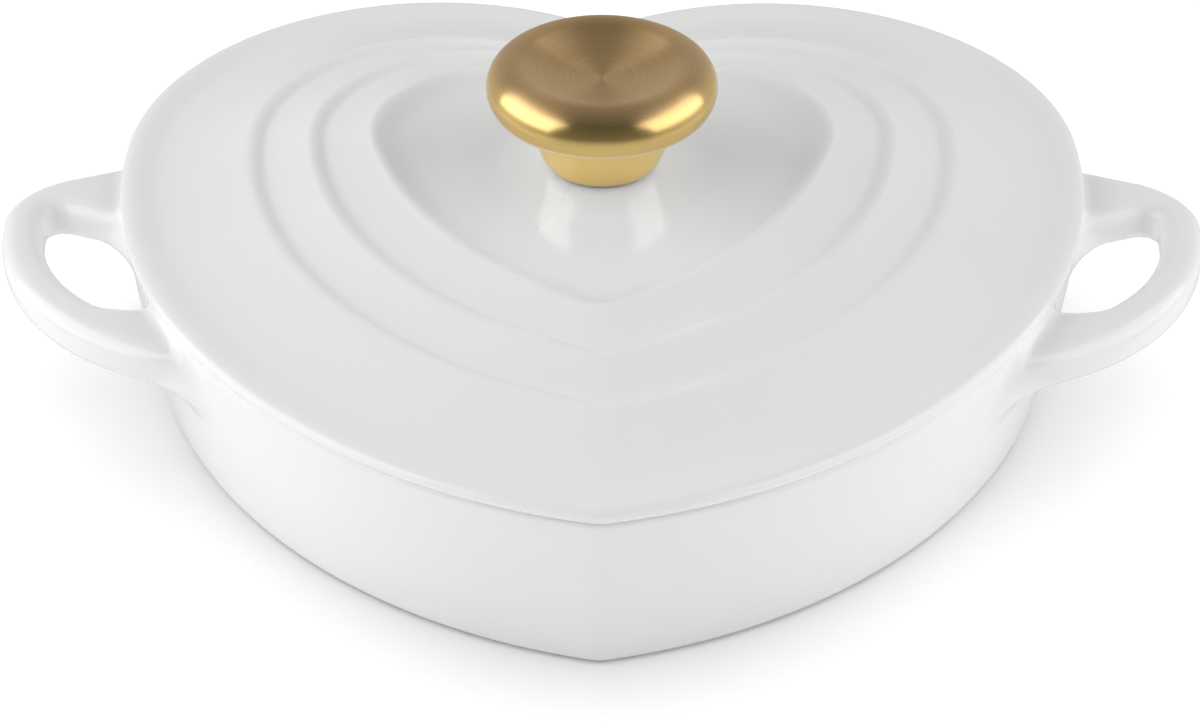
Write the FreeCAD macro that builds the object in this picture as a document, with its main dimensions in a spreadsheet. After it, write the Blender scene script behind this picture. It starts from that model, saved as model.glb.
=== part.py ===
"""Shallow heart-shaped casserole: an enamelled iron pot with two loop handles, and a lid that lifts off.

Frame: millimetres, +Z up, +X to the right-hand handle, -Y towards the point of the heart.
The origin is on the surface that the pot stands on, under the middle of its outline.
"""
import FreeCAD, Part
import math
import os

import Sketcher

ORIGIN = (-1, 1)                # the sketch's own origin, as geometry and point
Y_AXIS = -2                     # the sketch's own vertical axis, as geometry
START, END, CENTRE = 1, 2, 3    # the points of an edge

DIMENSIONS = [
    # The heart of the lid's edge: a lobe arc and a side arc on each side of the middle line.
    ("rim_lobe_x", 44.55), ("rim_lobe_y", 36.3), ("rim_lobe_radius", 75.4), ("rim_side_radius", 147.6),
    ("rim_side_y", 33.33), ("rim_tip_round", 14), ("rim_cleft_round", 10),
    # The crests of the three raised hearts on the lid, from the edge inwards.
    ("outer_lobe_x", 39.4), ("outer_lobe_y", 33.35), ("outer_lobe_radius", 48.2),
    ("outer_side_radius", 120), ("outer_side_y", 33.98), ("outer_tip_round", 14),
    ("outer_cleft_round", 9), ("middle_lobe_x", 33), ("middle_lobe_y", 28.85),
    ("middle_lobe_radius", 39.2), ("middle_side_radius", 106.8), ("middle_side_y", 33.92),
    ("middle_tip_round", 12), ("middle_cleft_round", 8), ("inner_lobe_x", 27.4),
    ("inner_lobe_y", 25.05), ("inner_lobe_radius", 29.2), ("inner_side_radius", 111.3),
    ("inner_side_y", 44.9), ("inner_tip_round", 10), ("inner_cleft_round", 7),
    # Pot.
    ("rim_height", 44.8), ("rim_inset", 0.8), ("wall_lean", 5.4), ("wall_bow", 1.5),
    ("foot_round", 2.2), ("wall_thickness", 4), ("floor_thickness", 4.2), ("floor_round", 9),
    # Loop handles, measured on the right-hand one.
    ("handle_bottom", 31.8), ("handle_thickness", 10.8), ("handle_edge", 3.2),
    ("handle_back_root_x", 98), ("handle_back_root_y", 44.98), ("handle_back_x", 140.3),
    ("handle_back_y", 28.38), ("handle_end_x", 147.9), ("handle_end_y", 17.89),
    ("handle_corner_radius", 12), ("handle_front_x", 103), ("handle_front_y", -46.3),
    ("handle_sweep_radius", 63.26), ("handle_front_root_x", 91), ("handle_front_root_y", -47.5),
    ("grip_web", 1.2), ("grip_back_root_y", 11.4), ("grip_back_x", 131.08), ("grip_back_y", 15.59),
    ("grip_end_x", 137.76), ("grip_end_y", 10.63), ("grip_corner_radius", 5), ("grip_front_x", 114.16),
    ("grip_front_y", -28), ("grip_sweep_radius", 47.34), ("grip_front_root_y", -28),
    # Lid, with heights above its seat on the pot's rim.
    ("lid_gap", 0.1), ("edge_height", 4.6), ("edge_round", 1.7), ("edge_undercut", 0.8),
    ("edge_foot", 1.2), ("edge_draft", 0.2), ("edge_shoulder", 0.4), ("edge_top", 0.6),
    ("valley_inset", 6), ("valley_height", 4.9), ("slope_inset", 18), ("outer_crest", 8.7),
    ("middle_crest", 12.5), ("inner_crest", 15.5), ("crest_width", 2.4), ("crest_round", 0.2),
    ("step_width", 5), ("small_step", 1.4), ("plateau_inset", 7), ("plateau_height", 13),
    ("boss_height", 13.8), ("boss_radius", 21), ("boss_root", 1), ("lip_inset", 6.3),
    ("lip_width", 3.6), ("lip_depth", 2.6), ("lip_root", 1), ("lip_draft", 0.4), ("lip_corner", 2),
    ("lip_corner_height", 0.6), ("lid_thickness", 4.2), ("roof_height", 9.4), ("roof_inset", 2),
    ("screw_hole_depth", 40),
    # Knob and its fastening, on an axis of their own; heights above the ground.
    ("knob_y", 12.3), ("seal_radius", 12.2), ("seal_thickness", 0.4), ("screw_hole_radius", 3.4),
    ("stem_foot_radius", 12.6), ("stem_foot_round", 1.9), ("stem_waist_radius", 14.5),
    ("stem_neck_radius", 16.6), ("stem_top_radius", 18.4), ("stem_flare", 38), ("stem_wall", 1.8),
    ("stem_web", 2), ("cap_ring_radius", 21.2), ("cap_bead_radius", 6.5), ("cap_bead_level", 79.6),
    ("cap_wall", 1.6), ("cap_dish_level", 81.6), ("cap_crest_x", 18.5), ("insert_radius", 5),
    ("insert_flange_radius", 8), ("insert_play", 1), ("insert_flange", 1.6), ("insert_drop", 8),
    ("thread_radius", 3), ("thread_play", 0.05), ("screw_length", 20), ("screw_head_radius", 5.6),
    ("screw_head_height", 3.4), ("screw_head_round", 1.6), ("recess_reach", 5.4), ("recess_width", 1.2),
    ("recess_depth", 1.8), ("washer_radius", 8), ("washer_thickness", 1.2),
]

# Levels and places that several pieces share, as expressions of the sizes above.
LID_SEAT = "(rim_height + lid_gap)"
LID_ROOF = f"({LID_SEAT} + roof_height)"
KNOB_SEAT = f"({LID_SEAT} + boss_height)"
STEM_FOOT = f"({KNOB_SEAT} + seal_thickness)"
CAP_FOOT = "(cap_bead_level - sqrt(cap_bead_radius^2 - (cap_ring_radius - stem_top_radius)^2))"
SIDE_CENTRE = "(rim_lobe_x - sqrt((rim_side_radius - rim_lobe_radius)^2 - (rim_lobe_y - rim_side_y)^2))"

CORNER_ANGLES = (0, 30, 60)                     # degrees round a quarter circle
WALL_SHARES = (0.05, 0.15, 0.3, 0.5, 0.75, 1)   # shares of the rim's height
HOLLOW_SHARES = WALL_SHARES[2:]
FLAT = 0.01                                     # an edge with less rise than this lies level

doc = FreeCAD.newDocument("heart_casserole")
sheet = doc.addObject("Spreadsheet::Sheet", "Dims")
for row, (alias, size) in enumerate(DIMENSIONS, start=1):
    sheet.set(f"A{row}", alias)
    sheet.set(f"B{row}", str(size))
    sheet.setAlias(f"B{row}", alias)
doc.recompute()


def bound(expression):
    """An expression in which each plain word is one of the sheet's cells."""
    words = sorted((alias for alias, _ in DIMENSIONS), key=len, reverse=True)
    marked = expression
    for place, word in enumerate(words):
        marked = marked.replace(word, f"@{place}@")
    for place, word in enumerate(words):
        marked = marked.replace(f"@{place}@", f"Dims.{word}")
    return marked


def value(expression):
    """The present value of an expression, which gives a sketch its starting geometry."""
    return float(sheet.evalExpression(bound(expression)))


def drive(item, prop, expression):
    """Bind one property of an object to the sheet."""
    item.setExpression(prop, bound(expression))


def new_body(label):
    body = doc.addObject("PartDesign::Body", label)
    body.Label = label
    return body


def new_sketch(body, name, plane="XY_Plane", level="0"):
    """A sketch on one of the body's own origin planes, raised along the plane's normal."""
    sketch = body.newObject("Sketcher::SketchObject", name)
    support = [item for item in body.Origin.OriginFeatures if item.Role == plane][0]
    sketch.AttachmentSupport = [(support, "")]
    sketch.MapMode = "FlatFace"
    drive(sketch, "AttachmentOffset.Base.z", level)
    return sketch


def size_constraint(sketch, name, expression, *where):
    """Add a named dimension and bind it to the sheet."""
    kind, *items = where
    index = sketch.addConstraint(Sketcher.Constraint(kind, *items, value(expression)))
    sketch.renameConstraint(index, name)
    drive(sketch, f"Constraints.{name}", expression)


def arc(centre, radius, begin, finish):
    circle = Part.Circle(FreeCAD.Vector(*centre, 0), FreeCAD.Vector(0, 0, 1), radius)
    return Part.ArcOfCircle(circle, begin, finish)


def heading(origin, target):
    return math.atan2(target[1] - origin[1], target[0] - origin[0])


def heart_sketch(body, name, heart, level, inset):
    """A heart of six tangent arcs, set in from the named heart's own outline."""
    sketch = new_sketch(body, name, level=level)
    lobe_size = f"{heart}_lobe_radius - ({inset})"
    side_size = f"{heart}_side_radius - ({inset})"
    cleft_size = f"{heart}_cleft_round + max(0; {inset})"
    lobe_r, side_r, cleft_r = value(lobe_size), value(side_size), value(cleft_size)
    tip_r = value(f"{heart}_tip_round")
    lobe = (value(f"{heart}_lobe_x"), value(f"{heart}_lobe_y"))
    side_y = value(f"{heart}_side_y")
    side = (lobe[0] - math.sqrt((side_r - lobe_r) ** 2 - (lobe[1] - side_y) ** 2), side_y)
    tip = (0, side_y - math.sqrt((side_r - tip_r) ** 2 - side[0] ** 2))
    cleft = (0, lobe[1] + math.sqrt((lobe_r + cleft_r) ** 2 - lobe[0] ** 2))
    low = heading(side, tip)
    joint = heading(side, lobe)
    top = heading(lobe, cleft)
    other_lobe, other_side = (-lobe[0], lobe[1]), (-side[0], side[1])
    arcs = [
        arc(side, side_r, low, joint),
        arc(lobe, lobe_r, joint, top),
        arc(cleft, cleft_r, 2 * math.pi - top, math.pi + top),
        arc(other_lobe, lobe_r, math.pi - top, math.pi - joint),
        arc(other_side, side_r, math.pi - joint, math.pi - low),
        arc(tip, tip_r, -math.pi - low, low),
    ]
    right_side, right_lobe, cleft_arc, left_lobe, left_side, tip_arc = sketch.addGeometry(arcs)
    joints = [
        (right_side, END, right_lobe, START), (right_lobe, END, cleft_arc, END),
        (cleft_arc, START, left_lobe, START), (left_lobe, END, left_side, START),
        (left_side, END, tip_arc, START), (tip_arc, END, right_side, START),
    ]
    for joint_items in joints:
        sketch.addConstraint(Sketcher.Constraint("Tangent", *joint_items))
    sketch.addConstraint(Sketcher.Constraint("Equal", right_lobe, left_lobe))
    sketch.addConstraint(Sketcher.Constraint("Equal", right_side, left_side))
    sketch.addConstraint(Sketcher.Constraint("Symmetric", right_lobe, CENTRE, left_lobe, CENTRE, Y_AXIS))
    sketch.addConstraint(Sketcher.Constraint("PointOnObject", tip_arc, CENTRE, Y_AXIS))
    size_constraint(sketch, "lobe_x", f"{heart}_lobe_x", "DistanceX", *ORIGIN, right_lobe, CENTRE)
    size_constraint(sketch, "lobe_y", f"{heart}_lobe_y", "DistanceY", *ORIGIN, right_lobe, CENTRE)
    size_constraint(sketch, "side_y", f"{heart}_side_y", "DistanceY", *ORIGIN, right_side, CENTRE)
    size_constraint(sketch, "lobe_size", lobe_size, "Radius", right_lobe)
    size_constraint(sketch, "side_size", side_size, "Radius", right_side)
    size_constraint(sketch, "cleft_size", cleft_size, "Radius", cleft_arc)
    size_constraint(sketch, "tip_size", f"{heart}_tip_round", "Radius", tip_arc)
    return sketch


def heart_loft(body, name, sections, cut=False):
    """Stack hearts given as (heart, level, inset) into one solid, or cut that solid away."""
    sketches = [heart_sketch(body, f"{name}Section", *section) for section in sections]
    kind = "PartDesign::SubtractiveLoft" if cut else "PartDesign::AdditiveLoft"
    loft = body.newObject(kind, name)
    loft.Profile = sketches[0]
    loft.Sections = sketches[1:]
    loft.Ruled = True
    body.Tip = loft
    doc.recompute()
    return loft


def arc_between(begin, finish, radius, turn):
    """The short arc between two points: turn is 1 where the outline bends left, -1 where it bends right."""
    middle = ((begin[0] + finish[0]) / 2, (begin[1] + finish[1]) / 2)
    half = math.dist(begin, finish) / 2
    lean = heading(begin, finish) + turn * math.pi / 2
    reach = math.sqrt(radius ** 2 - half ** 2)
    centre = (middle[0] + reach * math.cos(lean), middle[1] + reach * math.sin(lean))
    first, last = heading(centre, begin), heading(centre, finish)
    if turn < 0:
        first, last = last, first
    if last < first:
        last += 2 * math.pi
    return arc(centre, radius, first, last)


def outline(sketch, corners):
    """A closed outline of corners: (x, y), or (x, y, radius, turn) where an arc leads to the next one."""
    places = [(value(corner[0]), value(corner[1])) for corner in corners]
    ends = []
    for step, corner in enumerate(corners):
        here, there = places[step], places[(step + 1) % len(corners)]
        if len(corner) == 2:
            line = Part.LineSegment(FreeCAD.Vector(*here, 0), FreeCAD.Vector(*there, 0))
            ends.append((sketch.addGeometry(line), START, END))
            continue
        radius, turn = corner[2:]
        edge = sketch.addGeometry(arc_between(here, there, value(radius), turn))
        ends.append((edge, START, END) if turn > 0 else (edge, END, START))
    for step, corner in enumerate(corners):
        edge, begin, _ = ends[step]
        before, _, finish = ends[step - 1]
        sketch.addConstraint(Sketcher.Constraint("Coincident", before, finish, edge, begin))
        size_constraint(sketch, f"x{step}", corner[0], "DistanceX", *ORIGIN, edge, begin)
        size_constraint(sketch, f"y{step}", corner[1], "DistanceY", *ORIGIN, edge, begin)
        if len(corner) > 2:
            size_constraint(sketch, f"bend{step}", corner[2], "Radius", edge)
    return sketch


def circle_sketch(body, name, level, radius, centre_y="0"):
    sketch = new_sketch(body, name, level=level)
    centre = FreeCAD.Vector(0, value(centre_y), 0)
    ring = sketch.addGeometry(Part.Circle(centre, FreeCAD.Vector(0, 0, 1), value(radius)))
    sketch.addConstraint(Sketcher.Constraint("PointOnObject", ring, CENTRE, Y_AXIS))
    size_constraint(sketch, "centre_y", centre_y, "DistanceY", *ORIGIN, ring, CENTRE)
    size_constraint(sketch, "radius", radius, "Radius", ring)
    return sketch


def pad(body, name, sketch, length):
    feature = body.newObject("PartDesign::Pad", name)
    feature.Profile = sketch
    drive(feature, "Length", length)
    body.Tip = feature
    doc.recompute()
    return feature


def pocket(body, name, sketch, length):
    """Cut upwards from the sketch."""
    before = body.Shape.Volume
    feature = body.newObject("PartDesign::Pocket", name)
    feature.Profile = sketch
    feature.Reversed = True
    drive(feature, "Length", length)
    body.Tip = feature
    doc.recompute()
    assert feature.Shape.Volume < before, f"{name} cuts nothing"
    return feature


def turned(label, corners):
    """A piece turned about the knob's axis, from its section to one side of the axis."""
    body = new_body(label)
    drive(body, "Placement.Base.y", "knob_y")
    sketch = outline(new_sketch(body, f"{label}_section", "XZ_Plane"), corners)
    feature = body.newObject("PartDesign::Revolution", f"{label}_turned")
    feature.Profile = sketch
    feature.ReferenceAxis = (sketch, ["V_Axis"])
    feature.Angle = 360
    body.Tip = feature
    doc.recompute()
    return body


def corner_levels(radius):
    """Steps round a quarter circle from flat to upright, as (height, inset) expressions."""
    for angle in CORNER_ANGLES:
        turn = math.radians(angle)
        yield f"{radius} * {1 - math.cos(turn):.4f}", f"{radius} * {1 - math.sin(turn):.4f}"


def wall_inset(level):
    """How far the pot's outer wall stands in from the lid's edge at a given height."""
    return f"rim_inset + wall_lean * (1 - ({level}) / rim_height) ^ wall_bow"


def pot_casting():
    """The pot, with its floor, leaning wall and both loop handles cast in one."""
    body = new_body("pot_casting")
    steps = list(corner_levels("foot_round"))
    wall = [("rim", level, f"{wall_inset(level)} + {extra}") for level, extra in steps]
    for share in WALL_SHARES:
        level = f"rim_height * {share}"
        wall.append(("rim", level, wall_inset(level)))
    add_handles(body)
    heart_loft(body, "Wall", wall)
    hollow = []
    for rise, extra in corner_levels("floor_round"):
        level = f"floor_thickness + {rise}"
        hollow.append(("rim", level, f"{wall_inset(level)} + wall_thickness + {extra}"))
    for share in HOLLOW_SHARES:
        level = f"rim_height * {share}"
        hollow.append(("rim", level, f"{wall_inset(level)} + wall_thickness"))
    heart_loft(body, "Hollow", hollow, cut=True)
    return body


def beside_wall(y):
    """The x of a point just outside the heart's side arc, at a given y."""
    return f"sqrt((rim_side_radius + grip_web)^2 - ({y} - rim_side_y)^2) + {SIDE_CENTRE}"


def add_handles(body):
    """Two flat loops under the rim: one is padded, pierced for the fingers and rounded, then mirrored."""
    loop_sketch = outline(new_sketch(body, "LoopOutline", level="handle_bottom"), [
        ("handle_front_root_x", "handle_front_root_y"),
        ("handle_front_x", "handle_front_y", "handle_sweep_radius", 1),
        ("handle_end_x", "handle_end_y", "handle_corner_radius", 1),
        ("handle_back_x", "handle_back_y"),
        ("handle_back_root_x", "handle_back_root_y"),
    ])
    loop = pad(body, "Loop", loop_sketch, "handle_thickness")
    grip_sketch = outline(new_sketch(body, "GripOutline", level="handle_bottom"), [
        (beside_wall("grip_front_root_y"), "grip_front_root_y"),
        ("grip_front_x", "grip_front_y", "grip_sweep_radius", 1),
        ("grip_end_x", "grip_end_y", "grip_corner_radius", 1),
        ("grip_back_x", "grip_back_y"),
        (beside_wall("grip_back_root_y"), "grip_back_root_y", "rim_side_radius + grip_web", -1),
    ])
    grip = pocket(body, "Grip", grip_sketch, "handle_thickness")
    edges = []
    for number, edge in enumerate(grip.Shape.Edges, start=1):
        box = edge.BoundBox
        flat = box.ZLength < FLAT
        if flat and box.XMax > value("handle_back_root_x + 1") and box.YMax > value("grip_back_y + 1"):
            edges.append(f"Edge{number}")
    rounding = body.newObject("PartDesign::Fillet", "HandleRounding")
    rounding.Base = (grip, edges)
    drive(rounding, "Radius", "handle_edge")
    body.Tip = rounding
    doc.recompute()
    mirror = body.newObject("PartDesign::Mirrored", "LeftHandle")
    mirror.Originals = [loop, grip, rounding]
    mirror.MirrorPlane = ([item for item in body.Origin.OriginFeatures if item.Role == "YZ_Plane"][0], [""])
    body.Tip = mirror
    doc.recompute()


def lid_casting():
    """The lid: a rounded edge, three raised hearts that step up to a flat middle, a boss and a lip."""
    body = new_body("lid_casting")
    edge_top = f"{LID_SEAT} + edge_height"
    top = [
        ("rim", LID_SEAT, "edge_undercut"),
        ("rim", f"{LID_SEAT} + edge_foot", "0"),
        ("rim", f"{edge_top} - edge_round", "edge_draft"),
        ("rim", f"{edge_top} - edge_shoulder", "edge_round - edge_top"),
        ("rim", edge_top, "edge_round + edge_top"),
        ("rim", f"{LID_SEAT} + valley_height", "valley_inset"),
        ("rim", f"{LID_SEAT} + (valley_height + outer_crest - small_step) / 2", "slope_inset"),
    ]
    for ring in ("outer", "middle", "inner"):
        crest = f"{LID_SEAT} + {ring}_crest"
        top.append((ring, f"{crest} - crest_round", "-crest_width"))
        top.append((ring, crest, "0"))
        if ring != "inner":
            top.append((ring, f"{crest} - small_step", "step_width"))
    top.append(("inner", f"{LID_SEAT} + plateau_height", "plateau_inset"))
    heart_loft(body, "Top", top)
    boss = circle_sketch(body, "BossCircle", f"{LID_ROOF} + boss_root", "boss_radius", "knob_y")
    pad(body, "Boss", boss, "boss_height - roof_height - boss_root")
    heart_loft(body, "Lip", [
        ("rim", f"{LID_SEAT} - lip_depth", "lip_inset + lip_draft"),
        ("rim", f"{LID_SEAT} + lip_root", "lip_inset"),
    ])
    heart_loft(body, "Underside", [
        ("rim", f"{LID_SEAT} - lip_depth", "lip_inset + lip_width"),
        ("rim", f"{LID_SEAT} + lip_corner_height", "lip_inset + lip_width + lip_corner"),
        ("outer", f"{LID_SEAT} + outer_crest - lid_thickness", "0"),
        ("middle", f"{LID_SEAT} + middle_crest - lid_thickness", "0"),
        ("inner", LID_ROOF, "roof_inset"),
    ], cut=True)
    hole = circle_sketch(body, "ScrewHoleCircle", LID_SEAT, "screw_hole_radius", "knob_y")
    pocket(body, "ScrewHole", hole, "screw_hole_depth")
    return body


def knob_seal():
    """A thin washer between the knob's foot and the enamel."""
    return turned("knob_seal", [
        ("screw_hole_radius", KNOB_SEAT), ("seal_radius", KNOB_SEAT),
        ("seal_radius", STEM_FOOT), ("screw_hole_radius", STEM_FOOT),
    ])


def knob_stem():
    """A flared cup, open below, with a web across its top that holds the insert."""
    return turned("knob_stem", [
        ("stem_foot_radius - stem_wall", STEM_FOOT),
        ("stem_foot_radius", STEM_FOOT, "stem_foot_round", 1),
        ("stem_waist_radius", f"{STEM_FOOT} + stem_foot_round"),
        ("stem_neck_radius", f"({STEM_FOOT} + {CAP_FOOT}) / 2", "stem_flare", -1),
        ("stem_top_radius", CAP_FOOT),
        ("insert_radius", CAP_FOOT),
        ("insert_radius", f"{CAP_FOOT} - stem_web"),
        ("stem_neck_radius - stem_wall", f"{CAP_FOOT} - stem_web"),
        ("stem_foot_radius - stem_wall", f"{STEM_FOOT} + stem_foot_round"),
    ])


def knob_cap():
    """A hollow cap with a thick rounded rim and a dished top, which sits on the stem's upper edge."""
    crest_rise = "sqrt(cap_bead_radius^2 - (cap_ring_radius - cap_crest_x)^2)"
    dish_depth = f"(cap_bead_level + {crest_rise} - cap_dish_level)"
    dish_radius = f"(cap_crest_x^2 + {dish_depth}^2) / (2 * {dish_depth})"
    inner_bead = "(cap_bead_radius - cap_wall)"
    shrink = f"{inner_bead} / cap_bead_radius"
    plate_top = f"({CAP_FOOT} + cap_wall)"
    return turned("knob_cap", [
        ("stem_top_radius", CAP_FOOT, "cap_bead_radius", 1),
        ("cap_ring_radius + cap_bead_radius", "cap_bead_level", "cap_bead_radius", 1),
        ("cap_crest_x", f"cap_bead_level + {crest_rise}", dish_radius, -1),
        ("0", "cap_dish_level"),
        ("0", "cap_dish_level - cap_wall", f"{dish_radius} + cap_wall", 1),
        (f"cap_ring_radius - (cap_ring_radius - cap_crest_x) * {shrink}",
         f"cap_bead_level + {crest_rise} * {shrink}", inner_bead, -1),
        (f"cap_ring_radius + {inner_bead}", "cap_bead_level", inner_bead, -1),
        (f"cap_ring_radius - sqrt({inner_bead}^2 - (cap_bead_level - {plate_top})^2)", plate_top),
        ("insert_flange_radius + insert_play", plate_top),
        ("insert_flange_radius + insert_play", CAP_FOOT),
    ])


def knob_insert():
    """The threaded bush pressed into the stem's web, drawn with a plain bore."""
    return turned("knob_insert", [
        ("thread_radius + thread_play", f"{CAP_FOOT} - insert_drop"),
        ("insert_radius", f"{CAP_FOOT} - insert_drop"),
        ("insert_radius", CAP_FOOT),
        ("insert_flange_radius", CAP_FOOT),
        ("insert_flange_radius", f"{CAP_FOOT} + insert_flange"),
        ("thread_radius + thread_play", f"{CAP_FOOT} + insert_flange"),
    ])


def screw_washer():
    return turned("screw_washer", [
        ("screw_hole_radius", f"{LID_ROOF} - washer_thickness"),
        ("washer_radius", f"{LID_ROOF} - washer_thickness"),
        ("washer_radius", LID_ROOF),
        ("screw_hole_radius", LID_ROOF),
    ])


def knob_screw():
    """A pan-head screw from under the lid, with a cross recess and a plain shank for its thread."""
    head_top = f"({LID_ROOF} - washer_thickness)"
    head_bottom = f"({head_top} - screw_head_height)"
    body = turned("knob_screw", [
        ("0", head_bottom),
        ("screw_head_radius - screw_head_round", head_bottom, "screw_head_round", 1),
        ("screw_head_radius", f"{head_bottom} + screw_head_round"),
        ("screw_head_radius", head_top),
        ("thread_radius", head_top),
        ("thread_radius", f"{head_top} + screw_length"),
        ("0", f"{head_top} + screw_length"),
    ])
    long_way, short_way = "recess_reach", "recess_width"
    for name, along, across in (("First", long_way, short_way), ("Second", short_way, long_way)):
        recess = outline(new_sketch(body, f"{name}RecessOutline", level=head_bottom), [
            (f"-{along} / 2", f"-{across} / 2"), (f"{along} / 2", f"-{across} / 2"),
            (f"{along} / 2", f"{across} / 2"), (f"-{along} / 2", f"{across} / 2"),
        ])
        pocket(body, f"{name}Recess", recess, "recess_depth")
    return body


def check_and_write(bodies):
    """Stop if anything failed, then write one file for each piece."""
    doc.recompute()
    for item in doc.Objects:
        state = [word for word in item.State if word in ("Invalid", "Error")]
        assert not state, f"{item.Label}: {state}"
    for body in bodies:
        shape = body.Shape
        assert not shape.isNull() and shape.isValid(), f"{body.Label} has a bad shape"
    os.makedirs("parts", exist_ok=True)
    for body in bodies:
        body.Shape.exportStep(f"parts/{body.Label}.step")
        box = body.Shape.BoundBox
        print(f"{body.Label}: {body.Shape.Volume / 1000:.2f} cm3, {len(body.Shape.Solids)} solid, "
              f"x {box.XMin:.2f}..{box.XMax:.2f}, y {box.YMin:.2f}..{box.YMax:.2f}, "
              f"z {box.ZMin:.2f}..{box.ZMax:.2f}")


check_and_write([
    pot_casting(), lid_casting(),
    knob_seal(), knob_stem(), knob_cap(), knob_insert(), screw_washer(), knob_screw(),
])
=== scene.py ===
"""A heart-shaped enamelled casserole: two castings, a gold knob with its fastenings, and a studio."""
import math

import bmesh
import bpy
import numpy as np
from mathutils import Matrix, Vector


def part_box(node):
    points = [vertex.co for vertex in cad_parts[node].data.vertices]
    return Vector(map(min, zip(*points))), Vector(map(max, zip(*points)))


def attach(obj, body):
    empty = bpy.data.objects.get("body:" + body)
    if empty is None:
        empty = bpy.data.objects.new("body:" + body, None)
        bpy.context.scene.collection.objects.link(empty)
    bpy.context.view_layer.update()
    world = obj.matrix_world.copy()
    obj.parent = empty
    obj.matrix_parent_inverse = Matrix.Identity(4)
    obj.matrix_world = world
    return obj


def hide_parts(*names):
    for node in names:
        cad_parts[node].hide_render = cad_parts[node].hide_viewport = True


bl_info = {
    "name": "Heart Casserole",
    "version": (1, 0, 0),
    "blender": (4, 5, 0),
    "location": "3D View > Sidebar > Casserole",
    "description": "Builds a heart-shaped enamelled casserole with a stepped lid and a gold knob",
    "category": "Add Mesh",
}

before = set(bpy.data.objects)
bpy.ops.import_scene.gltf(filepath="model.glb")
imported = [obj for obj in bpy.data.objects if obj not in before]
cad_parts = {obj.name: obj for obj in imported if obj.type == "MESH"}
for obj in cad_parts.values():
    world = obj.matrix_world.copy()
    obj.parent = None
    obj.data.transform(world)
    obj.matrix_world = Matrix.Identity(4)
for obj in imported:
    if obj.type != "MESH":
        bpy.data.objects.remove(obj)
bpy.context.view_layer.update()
MM = 0.001
TINY = 1e-6
TURN_SEGMENTS = 192
HEART_NOTE = "Lobe X, lobe Y, lobe radius, side radius, side Y, tip rounding, cleft rounding"


def top_of(node):
    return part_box(node)[1].z


def foot_of(node):
    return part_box(node)[0].z


KNOB_Y = sum(corner.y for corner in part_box("knob_cap")) / 2     # how far back the knob's axis stands


def heart_property(name, *lengths):
    """A heart outline's seven lengths, in metres."""
    return bpy.props.FloatVectorProperty(
        name=name, description=HEART_NOTE, size=7, default=[length * MM for length in lengths], unit="LENGTH")


def length_property(name, description, metres):
    return bpy.props.FloatProperty(name=name, description=description, default=metres, unit="LENGTH")


def colour_property(name, description, red, green, blue):
    return bpy.props.FloatVectorProperty(
        name=name, description=description, default=(red, green, blue, 1), size=4, subtype="COLOR",
        min=0, max=1)


class CasseroleSizes(bpy.types.PropertyGroup):
    """Lengths of the castings, in metres."""
    rim_heart: heart_property("Lid edge heart", 44.55, 36.3, 75.4, 147.6, 33.33, 14, 10)
    outer_heart: heart_property("Outer raised heart", 39.4, 33.35, 48.2, 120, 33.98, 14, 9)
    middle_heart: heart_property("Middle raised heart", 33, 28.85, 39.2, 106.8, 33.92, 12, 8)
    inner_heart: heart_property("Inner raised heart", 27.4, 25.05, 29.2, 111.3, 44.9, 10, 7)
    rim_height: length_property("Rim height", "Height of the pot's rim", top_of("pot_casting"))
    rim_inset: length_property("Rim inset", "How far the rim stands in from the lid's edge", 0.8 * MM)
    wall_lean: length_property("Wall lean", "How much further in the wall stands at its foot", 5.4 * MM)
    wall_thickness: length_property("Wall thickness", "Iron and enamel together", 4 * MM)
    floor_thickness: length_property("Floor thickness", "Iron and enamel together", 4.2 * MM)
    floor_round: length_property("Floor rounding", "Inside radius where wall meets floor", 9 * MM)
    foot_round: length_property("Foot rounding", "Outside radius at the foot of the wall", 3 * MM)
    rim_round: length_property("Rim rounding", "Radius of the rim's two edges", 1.3 * MM)
    handle_height: length_property("Handle height", "Height of the middle of the loop handles", 37.2 * MM)
    handle_thickness: length_property("Handle thickness", "Thickness of the loop handles", 10.8 * MM)
    handle_round: length_property("Handle rounding", "Radius of the loop handles' edges", 4.2 * MM)
    cap_ring: length_property("Cap ring", "Radius to the middle of the knob's rim", 21.2 * MM)
    cap_bead: length_property("Cap bead", "Radius of the knob's rim in section", 6.5 * MM)
    cap_level: length_property("Cap level", "Height of the middle of the knob's rim", 79.6 * MM)
    dish_level: length_property("Dish level", "Height of the lowest point of the knob's top", 81.6 * MM)
    mesh_step: length_property("Mesh step", "Spacing of the pot's mesh", 1.1 * MM)


class CasseroleColours(bpy.types.PropertyGroup):
    """Finishes."""
    enamel: colour_property("Enamel", "White gloss enamel", 0.90, 0.90, 0.895)
    enamel_thin: colour_property("Thin enamel", "Enamel where it runs thin on an edge", 0.74, 0.74, 0.73)
    rim_enamel: colour_property("Rim enamel", "Matt enamel of the rim and the lid's seat", 0.55, 0.54, 0.52)
    gold: colour_property("Gold", "Gold-coloured steel of the knob", 0.96, 0.69, 0.26)
    gold_brushed: colour_property("Brushed gold", "Turned and brushed top of the knob", 0.74, 0.49, 0.235)
    steel: colour_property("Steel", "Plain stainless steel", 0.62, 0.62, 0.61)
    seal: colour_property("Seal", "Soft washer under the knob", 0.42, 0.42, 0.41)
    stage: colour_property("Stage", "Pale floor", 0.95, 0.95, 0.95)


# ---------------------------------------------------------------- shapes

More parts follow.
